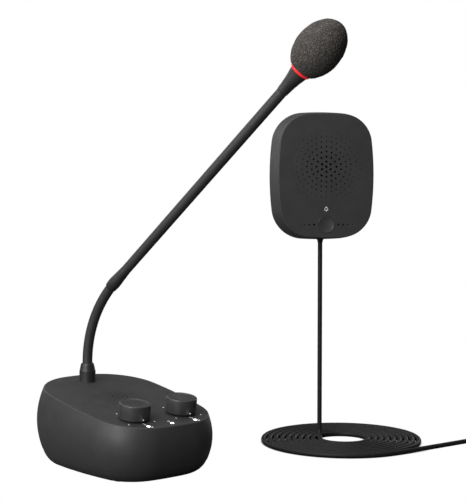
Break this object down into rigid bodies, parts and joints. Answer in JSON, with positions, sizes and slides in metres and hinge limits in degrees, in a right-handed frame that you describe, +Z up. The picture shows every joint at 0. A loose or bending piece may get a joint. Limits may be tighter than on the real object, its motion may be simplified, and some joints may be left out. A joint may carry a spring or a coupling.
{
  "type": "teller window intercom",
  "caption": "Two-piece counter intercom: weighted desk unit with gooseneck microphone, volume knobs and grille, and a glass-mounted speaker unit with call button and coiled lead.",
  "frame": {"origin": "middle of the desk unit's four feet, on the counter surface", "axes": "+Z up, -Y towards the person who speaks at the desk unit (the knobs), +X to that person's right"},
  "size_m": [0.4448, 0.2507, 0.3394],
  "materials": {
    "shell": "matte",
    "window_shell": "matte",
    "foot_rubber": "matte",
    "screw": "satin",
    "ballast": "satin",
    "board": "satin",
    "speaker_metal": "satin",
    "cone_paper": "matte",
    "magnet": "satin",
    "pot_metal": "satin",
    "pot_shaft": "satin",
    "knob": "satin",
    "white_lens": "gloss",
    "neck_metal": "satin",
    "stem_sleeve": "satin",
    "stem_tube": "satin",
    "mic_head": "matte",
    "red_ring": "gloss",
    "capsule": "satin",
    "foam": "matte",
    "socket_plastic": "satin",
    "pad": "matte",
    "switch_plastic": "satin",
    "button": "satin",
    "cord_rubber": "satin",
    "contact_metal": "polished"
  },
  "bodies": {
    "base": {"desk_top_cover": "shell", "desk_bottom_cover": "shell", "desk_feet": "foot_rubber", "desk_case_screws": "screw", "ballast_plate": "ballast", "main_board": "board", "board_screws": "screw", "control_board": "board", "desk_speaker_frame": "speaker_metal", "desk_speaker_cone": "cone_paper", "desk_speaker_magnet": "magnet", "left_potentiometer": "pot_metal", "right_potentiometer": "pot_metal", "left_indicator": "white_lens", "centre_indicator": "white_lens", "right_indicator": "white_lens", "neck_collar": "neck_metal", "neck_nut": "screw", "neck_stub": "neck_metal", "power_inlet": "socket_plastic", "lead_socket": "socket_plastic", "window_front_cover": "window_shell", "window_rear_cover": "window_shell", "window_case_screws": "screw", "mounting_pad": "pad", "window_speaker_frame": "speaker_metal", "window_speaker_cone": "cone_paper", "window_speaker_magnet": "magnet", "window_board": "board", "window_microphone": "capsule", "call_switch": "switch_plastic", "cord_gland": "cord_rubber", "cord_drop": "cord_rubber", "cord_coil": "cord_rubber", "cord_tail": "cord_rubber", "plug_boot": "cord_rubber", "plug_contact": "contact_metal"},
    "left_control": {"left_knob": "knob", "left_pot_shaft": "pot_shaft"},
    "right_control": {"right_knob": "knob", "right_pot_shaft": "pot_shaft"},
    "link_1": {"neck_link_1": "neck_metal"},
    "link_2": {"neck_link_2": "neck_metal"},
    "link_3": {"neck_link_3": "neck_metal"},
    "link_4": {"neck_link_4": "neck_metal"},
    "link_5": {"neck_link_5": "neck_metal"},
    "link_6": {"neck_link_6": "neck_metal"},
    "link_7": {"neck_link_7": "neck_metal"},
    "stem": {"stem_sleeve": "stem_sleeve", "mic_stem": "stem_tube", "mic_head": "mic_head", "light_ring": "red_ring", "mic_capsule": "capsule", "foam_windscreen": "foam"},
    "call_button": {"call_button": "button"}
  },
  "joints": [
    {"name": "left_volume_turn", "type": "hinge", "parent": "base", "child": "left_control", "pos_m": [-0.02175, -0.0517, 0.05357], "axis": [0, -0.1599, 0.9871], "range_deg": [-150, 150]},
    {"name": "right_volume_turn", "type": "hinge", "parent": "base", "child": "right_control", "pos_m": [0.02175, -0.0517, 0.05357], "axis": [0, -0.1599, 0.9871], "range_deg": [-150, 150]},
    {"name": "neck_bend_1", "type": "hinge", "parent": "base", "child": "link_1", "pos_m": [0, 0.045, 0.08226], "axis": [0.9573, 0.289, 0], "range_deg": [-11.8, 11.5]},
    {"name": "neck_sway_1", "type": "hinge", "parent": "link_1", "child": "link_2", "pos_m": [0.00028, 0.04408, 0.09158], "axis": [-0.2856, 0.946, 0.1533], "range_deg": [-7, 7]},
    {"name": "neck_bend_2", "type": "hinge", "parent": "link_2", "child": "link_3", "pos_m": [0.00083, 0.04225, 0.10075], "axis": [0.9573, 0.289, 0], "range_deg": [-11.8, 11.5]},
    {"name": "neck_sway_2", "type": "hinge", "parent": "link_3", "child": "link_4", "pos_m": [0.00165, 0.03954, 0.10968], "axis": [-0.2706, 0.8962, 0.3515], "range_deg": [-7, 7]},
    {"name": "neck_bend_3", "type": "hinge", "parent": "link_4", "child": "link_5", "pos_m": [0.00273, 0.03596, 0.11827], "axis": [0.9573, 0.289, 0], "range_deg": [-11.8, 11.5]},
    {"name": "neck_sway_3", "type": "hinge", "parent": "link_5", "child": "link_6", "pos_m": [0.00406, 0.03155, 0.12643], "axis": [-0.2442, 0.8088, 0.5349], "range_deg": [-7, 7]},
    {"name": "neck_bend_4", "type": "hinge", "parent": "link_6", "child": "link_7", "pos_m": [0.00562, 0.02637, 0.13408], "axis": [0.9573, 0.289, 0], "range_deg": [-11.8, 11.5]},
    {"name": "neck_sway_4", "type": "hinge", "parent": "link_7", "child": "stem", "pos_m": [0.00741, 0.02047, 0.14113], "axis": [-0.2076, 0.6875, 0.6959], "range_deg": [-7, 7]},
    {"name": "call_button_press", "type": "slide", "parent": "base", "child": "call_button", "axis": [0.5189, 0.8548, 0], "range_m": [0, 0.001], "stiffness_N_per_m": 1500, "springref_m": -0.0004}
  ],
  "couplings": [
    {"joint": "neck_bend_2", "follows": "neck_bend_1", "ratio": 1},
    {"joint": "neck_bend_3", "follows": "neck_bend_1", "ratio": 1},
    {"joint": "neck_bend_4", "follows": "neck_bend_1", "ratio": 1},
    {"joint": "neck_sway_2", "follows": "neck_sway_1", "ratio": 1},
    {"joint": "neck_sway_3", "follows": "neck_sway_1", "ratio": 1},
    {"joint": "neck_sway_4", "follows": "neck_sway_1", "ratio": 1}
  ]
}
